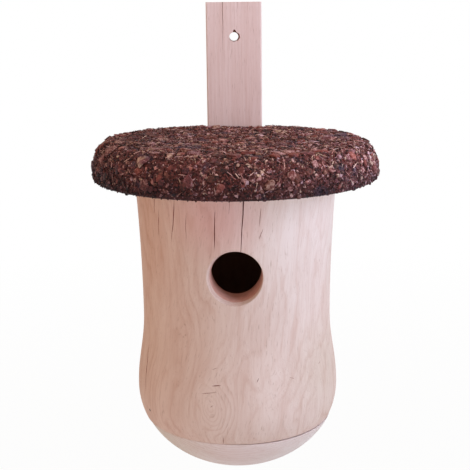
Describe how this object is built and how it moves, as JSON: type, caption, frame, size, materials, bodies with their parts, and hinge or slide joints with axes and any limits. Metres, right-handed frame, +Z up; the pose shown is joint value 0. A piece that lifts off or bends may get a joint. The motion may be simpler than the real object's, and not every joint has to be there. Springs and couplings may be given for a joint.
{
  "type": "bird nest box",
  "caption": "Hanging bird nest box turned from a log: bell-shaped hollow body with a round entrance, bowl-shaped floor, round bark-covered roof and a back batten with a hanging hole.",
  "frame": {"origin": "middle of the batten's back face, which lies against the tree or wall", "axes": "+Y out of the batten's back into the wall, so the entrance faces -Y; +Z up; +X to the viewer's right"},
  "size_m": [0.1857, 0.1862, 0.305],
  "materials": {
    "turned_log": "sanded bare wood with drying cracks",
    "turned_floor": "sanded bare wood",
    "roof_wood": "sawn bare wood",
    "bark_chips": "glued bark chips, rough",
    "batten_wood": "planed bare wood",
    "zinc_steel": "dull zinc plate"
  },
  "bodies": {
    "root": {"log_body": "turned_log", "floor_bowl": "turned_floor", "floor_nail_left": "zinc_steel", "floor_nail_right": "zinc_steel", "roof_board": "roof_wood", "bark_cover": "bark_chips", "hanging_batten": "batten_wood", "batten_screw_upper": "zinc_steel", "batten_screw_lower": "zinc_steel"}
  },
  "joints": []
}
